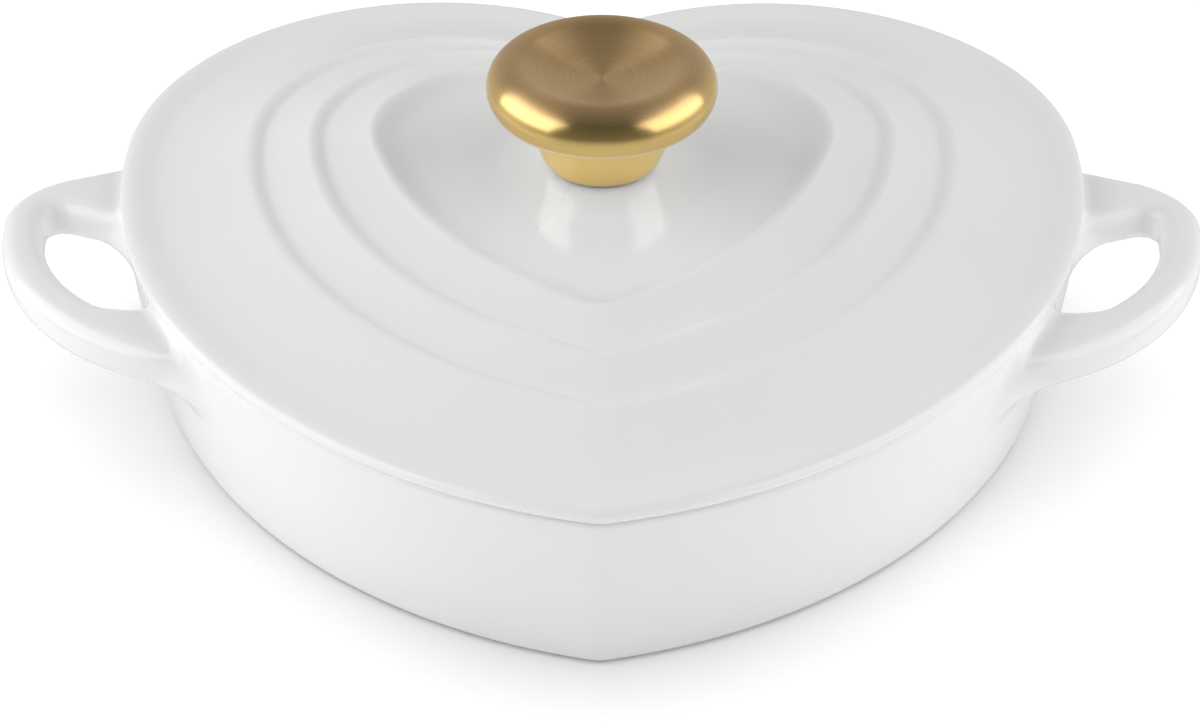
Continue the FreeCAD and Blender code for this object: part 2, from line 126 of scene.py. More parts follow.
class Heart:
    """A closed heart of tangent arcs, alike on both sides of X = 0."""

    def __init__(self, lengths):
        lobe_x, lobe_y, self.lobe_radius, self.side_radius, side_y, self.tip_round, self.cleft_round = lengths
        self.lobe = (lobe_x, lobe_y)
        across = math.sqrt((self.side_radius - self.lobe_radius) ** 2 - (lobe_y - side_y) ** 2)
        self.side = (lobe_x - across, side_y)
        reach = math.sqrt((self.side_radius - self.tip_round) ** 2 - self.side[0] ** 2)
        self.tip = (0, side_y - reach)
        rise = math.sqrt((self.lobe_radius + self.cleft_round) ** 2 - lobe_x ** 2)
        self.cleft = (0, lobe_y + rise)
        self.low = math.atan2(self.tip[1] - side_y, -self.side[0])
        self.joint = math.atan2(lobe_y - side_y, across)
        self.top = math.atan2(rise, -lobe_x)

    def arcs(self):
        """(centre, radius, first angle, last angle) of the right-hand half, from cleft to tip."""
        down = -math.pi / 2
        return [
            (self.cleft, self.cleft_round, down, self.top - math.pi),
            (self.lobe, self.lobe_radius, self.top, self.joint),
            (self.side, self.side_radius, self.joint, self.low),
            (self.tip, self.tip_round, self.low, down),
        ]

    def distance(self, x, y):
        """Signed distance from the outline, negative inside."""
        x = np.abs(x)
        best = np.full(np.broadcast(x, y).shape, 1e3)
        for place, (centre, radius, first, last) in enumerate(self.arcs()):
            angle = np.arctan2(y - centre[1], x - centre[0])
            beside = (angle >= min(first, last) - TINY) & (angle <= max(first, last) + TINY)
            away = np.hypot(x - centre[0], y - centre[1]) - radius
            if place == 0:
                away = -away
            best = np.where(beside & (np.abs(away) < np.abs(best)), away, best)
        return best

    def ring(self, count):
        """Evenly spaced points right round the outline, starting at the cleft, with 2 * count - 2 points."""
        arcs = self.arcs()
        lengths = [radius * abs(last - first) for _, radius, first, last in arcs]
        ends = np.concatenate([[0], np.cumsum(lengths)])
        along = np.linspace(0, ends[-1], count)
        half = np.zeros((count, 2))
        for (centre, radius, first, last), begin, finish in zip(arcs, ends, ends[1:]):
            here = (along >= begin - 1e-9) & (along <= finish + 1e-9)
            angle = first + (last - first) * (along[here] - begin) / (finish - begin)
            half[here] = np.stack([centre[0] + radius * np.cos(angle), centre[1] + radius * np.sin(angle)], 1)
        half[[0, -1], 0] = 0
        other = half[-2:0:-1] * (-1, 1)
        return np.concatenate([half, other])


def inset_heart(lengths, inset):
    """The same heart set in all round."""
    lobe_x, lobe_y, lobe_radius, side_radius, side_y, tip_round, cleft_round = lengths
    return Heart((lobe_x, lobe_y, lobe_radius - inset, side_radius - inset, side_y,
                  max(tip_round - inset, 2 * MM), cleft_round + inset))


def rounded_cut(first, second, radius):
    """Both fields at once: their common ground, with a round edge."""
    corner = np.hypot(np.maximum(first + radius, 0), np.maximum(second + radius, 0))
    return np.minimum(np.maximum(first, second), -radius) + corner


def rounded_join(first, second, radius):
    """Either field: their union, with a round hollow where they meet."""
    corner = np.hypot(np.maximum(radius - first, 0), np.maximum(radius - second, 0))
    return np.maximum(np.minimum(first, second), radius) - corner


def smooth_step(low, high, at):
    share = np.clip((at - low) / (high - low), 0, 1)
    return share * share * (3 - 2 * share)


def mesh_object(name, points, faces):
    mesh = bpy.data.meshes.new(name)
    corners = [tuple(int(corner) for corner in face) for face in faces]
    mesh.from_pydata([tuple(point) for point in points], [], corners)
    mesh.validate()
    mesh.update()
    mesh.shade_smooth()
    piece = bpy.data.objects.new(name, mesh)
    bpy.context.scene.collection.objects.link(piece)
    return piece


def ring_faces(rows, columns, closed=False):
    """Quads between rings of points; closed joins the last ring to the first."""
    faces = []
    for row in range(rows if closed else rows - 1):
        here, there = row * columns, (row + 1) % rows * columns
        for column in range(columns):
            after = (column + 1) % columns
            faces.append((here + column, there + column, there + after, here + after))
    return faces


def turn_piece(name, section):
    """A closed section of (radius, height) points in millimetres, turned about the knob's upright axis."""
    profile = [(radius * MM, height * MM) for radius, height in section]
    after = profile[1:] + profile[:1]
    if sum(begin[0] * finish[1] - begin[1] * finish[0] for begin, finish in zip(profile, after)) < 0:
        profile = profile[::-1]
    angles = np.linspace(0, 2 * math.pi, TURN_SEGMENTS, endpoint=False)
    across, along = np.cos(angles), np.sin(angles)
    rows = [np.stack([radius * across, radius * along + KNOB_Y, np.full(TURN_SEGMENTS, height)], 1)
            for radius, height in profile]
    return mesh_object(name, np.concatenate(rows), ring_faces(len(profile), TURN_SEGMENTS, closed=True))


def arc_points(centre, radius, first, last, count):
    """Points on an arc of a section, with angles in degrees."""
    angles = np.radians(np.linspace(first, last, count))
    return [(centre[0] + radius * math.cos(a), centre[1] + radius * math.sin(a)) for a in angles]


def surface_net(field, low, step):
    """A quad mesh of where a gridded field is zero."""
    inside = field < 0
    shape = tuple(size - 1 for size in field.shape)
    total = np.zeros(shape + (3,))
    hits = np.zeros(shape, int)
    corners = [(i, j, k) for i in (0, 1) for j in (0, 1) for k in (0, 1)]

    def corner(values, place):
        return values[tuple(slice(start, start + size) for start, size in zip(place, shape))]

    for begin in corners:
        for axis in range(3):
            if begin[axis]:
                continue
            finish = tuple(1 if place == axis else value for place, value in enumerate(begin))
            crossed = corner(inside, begin) != corner(inside, finish)
            near, far = corner(field, begin)[crossed], corner(field, finish)[crossed]
            point = np.array(begin, float)[None].repeat(len(near), 0)
            point[:, axis] = near / (near - far)
            total[crossed] += point
            hits[crossed] += 1
    used = hits > 0
    index = np.full(shape, -1)
    index[used] = np.arange(used.sum())
    cells = np.argwhere(used)
    points = low + step * (cells + total[used] / hits[used][:, None])
    faces = []
    for axis in range(3):
        one, two = [other for other in range(3) if other != axis]
        first = [slice(1, -1)] * 3
        first[axis] = slice(0, -1)
        second = list(first)
        second[axis] = slice(1, None)
        begin, finish = inside[tuple(first)], inside[tuple(second)]
        places = np.argwhere(begin != finish)
        offset = np.ones(3, int)
        offset[axis] = 0
        places = places + offset
        quads = []
        for back_one, back_two in ((1, 1), (0, 1), (0, 0), (1, 0)):
            cell = places.copy()
            cell[:, one] -= back_one
            cell[:, two] -= back_two
            quads.append(index[cell[:, 0], cell[:, 1], cell[:, 2]])
        quads = np.stack(quads, 1)
        flip = begin[begin != finish] ^ (axis == 1)
        quads[~flip] = quads[~flip][:, ::-1]
        faces.append(quads)
    return points, np.concatenate(faces)


SETTLE_LAPS, EVENING_LAPS = 6, 4


def settle(points, faces, field, step):
    """Even out a net's points and bring them exactly on to the field's surface."""
    edges = np.concatenate([faces[:, [0, 1]], faces[:, [1, 2]], faces[:, [2, 3]], faces[:, [3, 0]]])
    edges = np.unique(np.sort(edges, 1), axis=0)
    both = np.concatenate([edges, edges[:, ::-1]])
    order = np.bincount(both[:, 0], minlength=len(points))[:, None]
    nudge = step * 0.02
    for lap in range(SETTLE_LAPS):
        if lap < EVENING_LAPS:
            sums = [np.bincount(both[:, 0], points[both[:, 1], axis], len(points)) for axis in range(3)]
            points = points + 0.5 * (np.stack(sums, 1) / order - points)
        for _ in range(2):
            value = field(*points.T)
            rises = [field(*(points + nudge * np.eye(3)[axis]).T) - value for axis in range(3)]
            slope = np.stack(rises, 1) / nudge
            points = points - slope * (value / np.maximum((slope ** 2).sum(1), 0.2))[:, None]
    return points


def through(points, spacing):
    """A smooth curve through the points of a section, as evenly spaced points."""
    knots = np.array(points, float)
    ends = np.concatenate([[2 * knots[0] - knots[1]], knots, [2 * knots[-1] - knots[-2]]])
    run = []
    for before, begin, finish, after in zip(ends, ends[1:], ends[2:], ends[3:]):
        count = max(2, int(np.hypot(*(finish - begin)) / spacing) + 1)
        t = np.linspace(0, 1, count, endpoint=False)[:, None]
        run.append(0.5 * (2 * begin + (finish - before) * t
                          + (2 * before - 5 * begin + 4 * finish - after) * t ** 2
                          + (3 * begin - before - 3 * finish + after) * t ** 3))
    return np.concatenate(run + [knots[-1:]])


def merge_close(piece):
    """Joins points that lie on one another."""
    mesh = bmesh.new()
    mesh.from_mesh(piece.data)
    bmesh.ops.remove_doubles(mesh, verts=mesh.verts, dist=TINY)
    bmesh.ops.recalc_face_normals(mesh, faces=mesh.faces)
    mesh.to_mesh(piece.data)
    mesh.free()
    return piece


# ---------------------------------------------------------------- pot

# Loop handles in plan, in millimetres: round sweeps as (X, Y, radius), and straight edges as the
# direction that they face and how far out they lie.
HANDLE_SWEEP, HANDLE_BACK, HANDLE_CORNER = (84.7, 14.3, 63.3), (0.3655, 0.931, 77.7), 12
HOLE_SWEEP, HOLE_BACK, HOLE_FRONT = (90.5, 13, 47.3), (-0.337, 0.941, -29.5), (-0.35, -0.936, -12.9)
HOLE_BACK_CORNER, HOLE_FRONT_CORNER = 5, 6
# Hollow where a handle meets the wall: wide below, and narrow from the second height up, clear of the lid.
ROOT_HOLLOW, RIM_HOLLOW, HOLLOW_LEVELS = 9, 2.5, (34, 41)


def sweep_field(x, y, sweep):
    return np.hypot(x - sweep[0] * MM, y - sweep[1] * MM) - sweep[2] * MM


def edge_field(x, y, edge):
    return edge[0] * x + edge[1] * y - edge[2] * MM


def handle_field(x, y, z, sizes):
    """One loop handle: an outer sweep with a straight back, pierced by a finger hole, of even thickness."""
    x = np.abs(x)
    outline = rounded_cut(sweep_field(x, y, HANDLE_SWEEP), edge_field(x, y, HANDLE_BACK), HANDLE_CORNER * MM)
    hole = rounded_cut(sweep_field(x, y, HOLE_SWEEP), edge_field(x, y, HOLE_BACK), HOLE_BACK_CORNER * MM)
    hole = rounded_cut(hole, edge_field(x, y, HOLE_FRONT), HOLE_FRONT_CORNER * MM)
    plan = np.maximum(outline, -hole)
    half = sizes.handle_thickness / 2
    return rounded_cut(plan, np.abs(z - sizes.handle_height) - half, sizes.handle_round)


def pot_field(x, y, z, sizes):
    """The whole pot casting: wall, floor, hollow and both handles, blended into the wall."""
    edge = Heart(sizes.rim_heart).distance(x, y)
    up = np.clip(1 - z / sizes.rim_height, 0, 1)
    wall = edge + sizes.rim_inset + sizes.wall_lean * up ** 1.5
    outer = rounded_cut(wall, -z, sizes.foot_round)
    low, high = (level * MM for level in HOLLOW_LEVELS)
    blend = ROOT_HOLLOW * MM - (ROOT_HOLLOW - RIM_HOLLOW) * MM * smooth_step(low, high, z)
    body = rounded_join(outer, handle_field(x, y, z, sizes), blend)
    body = rounded_cut(body, z - sizes.rim_height, sizes.rim_round)
    hollow = rounded_cut(wall + sizes.wall_thickness, sizes.floor_thickness - z, sizes.floor_round)
    return rounded_cut(body, -hollow, sizes.rim_round)


def build_pot(sizes):
    step = sizes.mesh_step * 1
    low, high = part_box("pot_casting")
    low = np.array(low) - 2.3 * step
    counts = np.ceil((np.array(high) + 2 * step - low) / step).astype(int) + 1
    axes = [low[axis] + step * np.arange(counts[axis]) for axis in range(3)]
    x, y, z = np.meshgrid(*axes, indexing="ij")
    field = pot_field(x, y, z, sizes)
    points, faces = surface_net(field, low, step)
    points = settle(points, faces, lambda *place: pot_field(*place, sizes), step)
    points[:, 2] = np.maximum(points[:, 2], 0)
    return mesh_object("pot", points, faces)


# ---------------------------------------------------------------- lid

# Sections of the lid, in millimetres: (inset from the edge, height above the seat).
RING_POINTS = 321
INWARD_RINGS = 60
CREST_INSETS = (0, 30.1, 44.1, 57.9)
PLATEAU_INSET, PLATEAU_HEIGHT, BOSS_HEIGHT = 67, 12.7, 13.8
BOSS_REACH = (14, 27)
UNDERSIDE_HEIGHT = 9.4
SCREW_HOLE = 3.4
LID_GAP = 0.1
LID_TOP = [
    (0.9, 0), (0.3, 0.6), (0, 1.5), (0.1, 2.3), (0.7, 3.0), (1.9, 3.5), (3.4, 3.6), (5.2, 3.45), (7.4, 3.2),
    (9.5, 3.2), (12, 3.5), (16, 4.3), (20, 5.4), (24, 6.7), (27, 7.75), (28.9, 8.5), (30.1, 8.75),
    (31.2, 8.6), (32.3, 8.2), (33.4, 8.1), (36, 8.9), (39.5, 10.4), (42.4, 11.75), (43.3, 12.2),
    (44.1, 12.4), (45.2, 12.25), (46.3, 11.8), (47.4, 11.7), (50.5, 12.6), (53.5, 13.7), (56.2, 14.8),
    (57.1, 15.25), (57.9, 15.4), (59.1, 15.15), (60.6, 14.4), (62.4, 13.5), (64.6, 12.9),
    (PLATEAU_INSET, PLATEAU_HEIGHT),
]
LID_UNDERSIDE = [
    (6.2, 0), (6.5, -2.2), (7.1, -2.6), (9, -2.6), (9.8, -2.2), (11.5, 0.3), (15, 1.0), (30, 3.6), (44, 7.2),
    (58, 9.3), (PLATEAU_INSET, UNDERSIDE_HEIGHT),
]


def lid_hearts(sizes):
    return [np.array(heart) for heart in
            (sizes.rim_heart, sizes.outer_heart, sizes.middle_heart, sizes.inner_heart)]


def lid_ring(sizes, inset, height):
    """One ring of the lid: a heart at that inset, and further in a heart that turns into the screw hole."""
    if inset <= CREST_INSETS[3]:
        lengths = [np.interp(inset, CREST_INSETS, values) for values in np.array(lid_hearts(sizes)).T]
        plan = Heart(lengths).ring(RING_POINTS)
    else:
        within = min(inset, PLATEAU_INSET) - CREST_INSETS[3]
        plan = inset_heart(sizes.inner_heart, within * MM).ring(RING_POINTS)
        share = (inset - PLATEAU_INSET) / PLATEAU_INSET
        if share > 0:
            away = plan - (0, KNOB_Y)
            hole = away / np.hypot(*away.T)[:, None] * SCREW_HOLE * MM
            plan = (0, KNOB_Y) + away * (1 - share) + hole * share
    return np.column_stack([plan, np.full(len(plan), height * MM)])


def build_lid(sizes):
    """Top from the edge to the screw hole, then the underside back out to the edge."""
    inward = np.linspace(PLATEAU_INSET, 2 * PLATEAU_INSET, INWARD_RINGS)[1:]
    rings = [lid_ring(sizes, *place) for place in through(LID_TOP, 0.7)]
    rings += [lid_ring(sizes, inset, PLATEAU_HEIGHT) for inset in inward]
    near, far = (reach * MM for reach in BOSS_REACH)
    for ring in rings:
        away = np.hypot(ring[:, 0], ring[:, 1] - KNOB_Y)
        ring[:, 2] += (BOSS_HEIGHT - PLATEAU_HEIGHT) * MM * (1 - smooth_step(near, far, away))
    below = [lid_ring(sizes, inset, UNDERSIDE_HEIGHT) for inset in inward[::-4]]
    below += [lid_ring(sizes, *place) for place in through(LID_UNDERSIDE, 1.2)[::-1]]
    points = np.concatenate(rings + below) + (0, 0, top_of("pot_casting") + LID_GAP * MM)
    return mesh_object("lid", points, ring_faces(len(rings) + len(below), 2 * RING_POINTS - 2, closed=True))


# ---------------------------------------------------------------- knob and fastenings

CAP_WALL, CAP_CREST = 1.6, 18.5      # thickness of the cap, and the radius where its dish meets its rim
CAP_SEAT = (9, 18)                   # radii of the plate that sits on the stem
STEM_HOLE, STEM_WEB = 5, 2


def build_cap(sizes):
    """The hollow cap: thick rounded rim, dished top and a plate that sits on the stem."""
    ring, bead, level = sizes.cap_ring / MM, sizes.cap_bead / MM, sizes.cap_level / MM
    foot = top_of("knob_stem") / MM
    crest_level = level + math.sqrt(bead ** 2 - (ring - CAP_CREST) ** 2)
    depth = crest_level - sizes.dish_level / MM
    dish = (CAP_CREST ** 2 + depth ** 2) / (2 * depth)
    centre = (0, crest_level - depth + dish)
    spread = math.degrees(math.asin(CAP_CREST / dish))
    outer = arc_points((ring, level), bead, -114, 90 + spread, 72)
    top = arc_points(centre, dish, spread - 90, -90, 48)
    under = arc_points(centre, dish + CAP_WALL, -90, spread - 90, 12)
    inner = arc_points((ring, level), bead - CAP_WALL, 90 + spread, -118, 24)
    seat = [(radius, foot) for radius in CAP_SEAT]
    section = [*seat, *outer, *top[1:], *under, *inner[1:], (CAP_SEAT[0], foot + CAP_WALL)]
    return merge_close(turn_piece("knob_cap_turned", section))


def build_stem():
    """The flared stem, open below, with a web across its top."""
    foot, head = foot_of("knob_stem") / MM, top_of("knob_stem") / MM
    outer = through([(12.3, foot), (13.3, foot + 0.25), (14, foot + 0.9), (14.5, foot + 1.8),
                     (15.2, foot + 3.4), (16, foot + 6), (16.9, foot + 9), (17.7, foot + 12),
                     (18.3, head - 0.2)], 0.35)
    web = [(18.1, head), (STEM_HOLE, head), (STEM_HOLE, head - STEM_WEB), (14.4, head - STEM_WEB)]
    inner = through([(14.6, head - 2.4), (13.6, foot + 6), (12.2, foot + 1.5), (11.6, foot + 0.1)], 1)
    return turn_piece("knob_stem_turned", [*outer, *web, *inner, (11.7, foot)])


def build_seal():
    """A thin soft ring, rounded on its outside."""
    foot, head = foot_of("knob_seal") / MM, top_of("knob_seal") / MM
    middle = (foot + head) / 2
    edge = [(12, foot), (12.15, middle - 0.1), (12.15, middle + 0.1), (12, head)]
    return turn_piece("knob_seal_ring", [(SCREW_HOLE, foot), *edge, (SCREW_HOLE, head)])


# ---------------------------------------------------------------- finishes

def add_node(tree, kind, inputs=None, **settings):
    """A node with its settings; each input is a value, or the socket that feeds it."""
    node = tree.nodes.new(kind)
    for name, value in settings.items():
        setattr(node, name, value)
    for name, value in (inputs or {}).items():
        if isinstance(value, bpy.types.NodeSocket):
            tree.links.new(value, node.inputs[name])
        else:
            node.inputs[name].default_value = value
    return node


def maths(tree, operation, *values):
    return add_node(tree, "ShaderNodeMath", dict(enumerate(values)), operation=operation).outputs[0]


def ramp(tree, value, low, high, to_low=0.0, to_high=1.0, kind="SMOOTHSTEP"):
    """The value carried from one range to another."""
    inputs = {"Value": value, "From Min": low, "From Max": high, "To Min": to_low, "To Max": to_high}
    return add_node(tree, "ShaderNodeMapRange", inputs, interpolation_type=kind).outputs[0]


def blend_colours(tree, share, first, second):
    node = add_node(tree, "ShaderNodeMix", {0: share, 6: first, 7: second}, data_type="RGBA")
    return node.outputs[2]


NOISE_SPAN = (0.3, 0.7)     # where nearly all of a noise texture's values lie


def noise(tree, place, scale, detail=3.0):
    inputs = {"Vector": place, "Scale": scale, "Detail": detail}
    return add_node(tree, "ShaderNodeTexNoise", inputs).outputs["Fac"]


def object_place(tree):
    return add_node(tree, "ShaderNodeTexCoord").outputs["Object"]


def new_group(name, inputs, outputs):
    """An empty shader node group with its sockets, ready to fill."""
    tree = bpy.data.node_groups.new(name, "ShaderNodeTree")
    for label, kind, value in inputs:
        socket = tree.interface.new_socket(label, in_out="INPUT", socket_type="NodeSocket" + kind)
        socket.default_value = value
    for label, kind in outputs:
        tree.interface.new_socket(label, in_out="OUTPUT", socket_type="NodeSocket" + kind)
    return tree, tree.nodes.new("NodeGroupInput").outputs, tree.nodes.new("NodeGroupOutput").inputs


def enamel_skin_group():
    """Fired enamel: colour that thins on sharp edges, faint clouding, and a gently uneven glossy surface."""
    tree, given, result = new_group(
        "Enamel skin",
        [("Colour", "Color", (1, 1, 1, 1)), ("Thin Colour", "Color", (1, 1, 1, 1)),
         ("Thinning", "Float", 0.5), ("Smoothest", "Float", 0.05), ("Roughest", "Float", 0.12),
         ("Ripple", "Float", 0.1)],
        [("Colour", "Color"), ("Roughness", "Float"), ("Normal", "Vector")])
    place = object_place(tree)
    edge = ramp(tree, add_node(tree, "ShaderNodeNewGeometry").outputs["Pointiness"], 0.52, 0.62)
    thin = maths(tree, "MULTIPLY", maths(tree, "MULTIPLY", edge, given["Thinning"]), noise(tree, place, 260))
    cloud = ramp(tree, noise(tree, place, 22), *NOISE_SPAN, 0.985, 1.0)
    clear = add_node(tree, "ShaderNodeVectorMath", {0: given["Colour"], "Scale": cloud}, operation="SCALE")
    colour = blend_colours(tree, thin, clear.outputs[0], given["Thin Colour"])
    tree.links.new(colour, result["Colour"])
    smear = ramp(tree, noise(tree, place, 35), *NOISE_SPAN, given["Smoothest"], given["Roughest"], "LINEAR")
    tree.links.new(smear, result["Roughness"])
    fine = maths(tree, "MULTIPLY", noise(tree, place, 300, 2), 0.06)
    waves = maths(tree, "ADD", noise(tree, place, 60, 1), fine)
    height = {"Strength": given["Ripple"], "Distance": 0.4 * MM, "Height": waves}
    tree.links.new(add_node(tree, "ShaderNodeBump", height).outputs[0], result["Normal"])
    return tree


def turned_marks_group():
    """Fine rings left by turning and brushing about the knob's axis."""
    tree, given, result = new_group(
        "Turned marks",
        [("Axis Y", "Float", 0.0), ("Ring Scale", "Float", 4000.0), ("Smoothest", "Float", 0.2),
         ("Roughest", "Float", 0.3), ("Depth", "Float", 0.1)],
        [("Mask", "Float"), ("Roughness", "Float"), ("Normal", "Vector")])
    parts = add_node(tree, "ShaderNodeSeparateXYZ", {0: object_place(tree)}).outputs
    across = maths(tree, "SUBTRACT", parts["Y"], given["Axis Y"])
    radius = maths(tree, "SQRT", maths(tree, "ADD", maths(tree, "MULTIPLY", parts["X"], parts["X"]),
                                       maths(tree, "MULTIPLY", across, across)))
    waver = maths(tree, "MULTIPLY", noise(tree, object_place(tree), 120), 1.2)
    turns = maths(tree, "ADD", maths(tree, "MULTIPLY", radius, given["Ring Scale"]), waver)
    climb = maths(tree, "MULTIPLY", parts["Z"], given["Ring Scale"])
    line = add_node(tree, "ShaderNodeCombineXYZ", {0: turns, 2: climb})
    marks = noise(tree, line.outputs[0], 1.0, 4)
    tree.links.new(marks, result["Mask"])
    smear = ramp(tree, marks, *NOISE_SPAN, given["Smoothest"], given["Roughest"], "LINEAR")
    tree.links.new(smear, result["Roughness"])
    height = {"Strength": given["Depth"], "Distance": 0.05 * MM, "Height": marks}
    tree.links.new(add_node(tree, "ShaderNodeBump", height).outputs[0], result["Normal"])
    return tree


def shared_group(name, build):
    return bpy.data.node_groups.get(name) or build()


def new_material(name, **settings):
    """A material with one Principled shader, and the constants that are set on its own sockets."""
    material = bpy.data.materials.new(name)
    material.use_nodes = True
    shader = material.node_tree.nodes["Principled BSDF"]
    for label, value in settings.items():
        shader.inputs[label.replace("_", " ")].default_value = value
    return material, material.node_tree, shader


ZONE_FADE = 0.3 * MM


def enamel_material(name, colours, matt_zone):
    """Gloss enamel; matt_zone is a (low, high) band of heights where the enamel is matt and grey."""
    material, tree, shader = new_material(name, Specular_IOR_Level=0.5, IOR=1.5)
    skin = add_node(tree, "ShaderNodeGroup", node_tree=shared_group("Enamel skin", enamel_skin_group))
    for label, value in (("Colour", colours.enamel), ("Thin Colour", colours.enamel_thin), ("Thinning", 0.6),
                         ("Smoothest", 0.1), ("Roughest", 0.16), ("Ripple", 0.12)):
        skin.inputs[label].default_value = value
    height = add_node(tree, "ShaderNodeSeparateXYZ", {0: object_place(tree)}).outputs["Z"]
    normal = add_node(tree, "ShaderNodeNewGeometry").outputs["Normal"]
    upright = add_node(tree, "ShaderNodeSeparateXYZ", {0: normal}).outputs["Z"]
    flat = ramp(tree, maths(tree, "ABSOLUTE", upright), 0.9, 0.99)
    above = ramp(tree, height, matt_zone[0] - ZONE_FADE, matt_zone[0])
    below = ramp(tree, height, matt_zone[1] + ZONE_FADE, matt_zone[1])
    matt = maths(tree, "MULTIPLY", flat, maths(tree, "MULTIPLY", above, below))
    colour = blend_colours(tree, matt, skin.outputs["Colour"], tuple(colours.rim_enamel))
    rough = maths(tree, "MAXIMUM", skin.outputs["Roughness"], maths(tree, "MULTIPLY", matt, 0.5))
    tree.links.new(colour, shader.inputs["Base Color"])
    tree.links.new(rough, shader.inputs["Roughness"])
    tree.links.new(skin.outputs["Normal"], shader.inputs["Normal"])
    return material


def metal_material(name, colour, dark, rings, smooth, rough, depth, anisotropic=0.0, edge=None, painted_bounce=None):
    """Turned metal: colour and shine vary a little with the rings left by the tool.

    edge is a (start, end, colour, roughness) that the finish runs into away from the knob's axis. The last
    argument is a paler colour that only other surfaces see, never the camera: painted bounce light, which
    makes the enamel round the knob lighter and whiter than the gold would light it.
    """
    material, tree, shader = new_material(name, Metallic=1.0, Anisotropic=anisotropic,
                                          Anisotropic_Rotation=0.25)
    marks = add_node(tree, "ShaderNodeGroup", node_tree=shared_group("Turned marks", turned_marks_group))
    for label, value in (("Axis Y", KNOB_Y), ("Ring Scale", rings), ("Smoothest", smooth),
                         ("Roughest", rough), ("Depth", depth)):
        marks.inputs[label].default_value = value
    shade = ramp(tree, marks.outputs["Mask"], 0.2, 0.8)
    surface, rough = blend_colours(tree, shade, tuple(dark), tuple(colour)), marks.outputs["Roughness"]
    if edge:
        start, end, edge_colour, edge_rough = edge
        place = object_place(tree)
        across = add_node(tree, "ShaderNodeVectorMath", {0: place, 1: (1, 1, 0)}, operation="MULTIPLY")
        reach = add_node(tree, "ShaderNodeVectorMath", {0: across.outputs[0], 1: (0, KNOB_Y, 0)},
                         operation="DISTANCE").outputs["Value"]
        outward = ramp(tree, reach, start, end)
        surface = blend_colours(tree, outward, surface, tuple(edge_colour))
        rough = maths(tree, "ADD", maths(tree, "MULTIPLY", rough, maths(tree, "SUBTRACT", 1, outward)),
                      maths(tree, "MULTIPLY", outward, edge_rough))
    # Painted bounce light: every ray but the camera's sees the paler colour, so the enamel near the knob is
    # lit lighter and less gold.
    if painted_bounce:
        seen = add_node(tree, "ShaderNodeLightPath").outputs["Is Camera Ray"]
        surface = blend_colours(tree, seen, tuple(painted_bounce), surface)
    tree.links.new(surface, shader.inputs["Base Color"])
    tree.links.new(rough, shader.inputs["Roughness"])
    tree.links.new(marks.outputs["Normal"], shader.inputs["Normal"])
    if anisotropic:
        tangent = add_node(tree, "ShaderNodeTangent", direction_type="RADIAL", axis="Z")
        tree.links.new(tangent.outputs[0], shader.inputs["Tangent"])
    return material


def darker(colour, share):
    return tuple(part * share for part in colour[:3]) + (1,)


def seal_material(colours):
    """Soft matt washer, dusty on its surface."""
    material, tree, shader = new_material("soft seal", Specular_IOR_Level=0.35)
    dust = noise(tree, object_place(tree), 900)
    colour = blend_colours(tree, dust, tuple(colours.seal), darker(colours.seal, 0.7))
    tree.links.new(colour, shader.inputs["Base Color"])
    tree.links.new(ramp(tree, dust, *NOISE_SPAN, 0.5, 0.7), shader.inputs["Roughness"])
    return material


def dress(piece, body, slot, *materials, replaces=()):
    """Gives a piece its body, its finish and the CAD solids that it stands for."""
    for material in materials:
        piece.data.materials.append(material)
    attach(piece, body)
    if replaces:
        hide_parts(*replaces)


# ---------------------------------------------------------------- studio

CAMERA_PLACE = Vector((2.8 * MM, -567.9 * MM, 419.3 * MM))
CAMERA_TARGET = Vector((-0.2 * MM, -32.5 * MM, 30 * MM))
LENS, SENSOR = 84, 36               # millimetres
LIGHT_TARGET = (0, 0, 0.04)
SOFTBOXES = (("left softbox", -1, 9.2), ("right softbox", 1, 7.4))      # name, side, watts
SOFTBOX_REACH, SOFTBOX_BACK, SOFTBOX_HEIGHT, SOFTBOX_SIZE = 0.95, -0.15, 0.55, (1.4, 1.0)
FLOOR_HALF, FLOOR_DROP, FLOOR_GLOW = 4, 0.05 * MM, 0.07


def add_light(name, place, target, size, watts):
    """A soft rectangular light that faces its target."""
    lamp = bpy.data.lights.new(name, "AREA")
    lamp.shape = "RECTANGLE"
    lamp.size, lamp.size_y = size
    lamp.energy = watts
    light = bpy.data.objects.new(name, lamp)
    light.location = place
    light.rotation_euler = (Vector(target) - Vector(place)).to_track_quat("-Z", "Y").to_euler()
    bpy.context.scene.collection.objects.link(light)
    return light


def share_light(light, floor, state):
    """Lets a light fall only on the floor (INCLUDE), or on everything but the floor (EXCLUDE)."""
    receivers = bpy.data.collections.new(light.name + " receivers")
    receivers.objects.link(floor)
    receivers.collection_objects[0].light_linking.link_state = state
    light.light_linking.receiver_collection = receivers


def build_floor(colours):
    """A wide pale sweep, large enough for every view."""
    mesh = bmesh.new()
    bmesh.ops.create_grid(mesh, x_segments=8, y_segments=8, size=FLOOR_HALF)
    data = bpy.data.meshes.new("studio_floor")
    mesh.to_mesh(data)
    mesh.free()
    floor = bpy.data.objects.new("studio_floor", data)
    floor.location.z = -FLOOR_DROP
    bpy.context.scene.collection.objects.link(floor)
    material, _, shader = new_material("pale floor", Roughness=0.9, Specular_IOR_Level=0.0)
    shader.inputs["Base Color"].default_value = colours.stage
    shader.inputs["Emission Color"].default_value = colours.stage
    shader.inputs["Emission Strength"].default_value = FLOOR_GLOW
    data.materials.append(material)
    floor.visible_glossy = False
    return floor


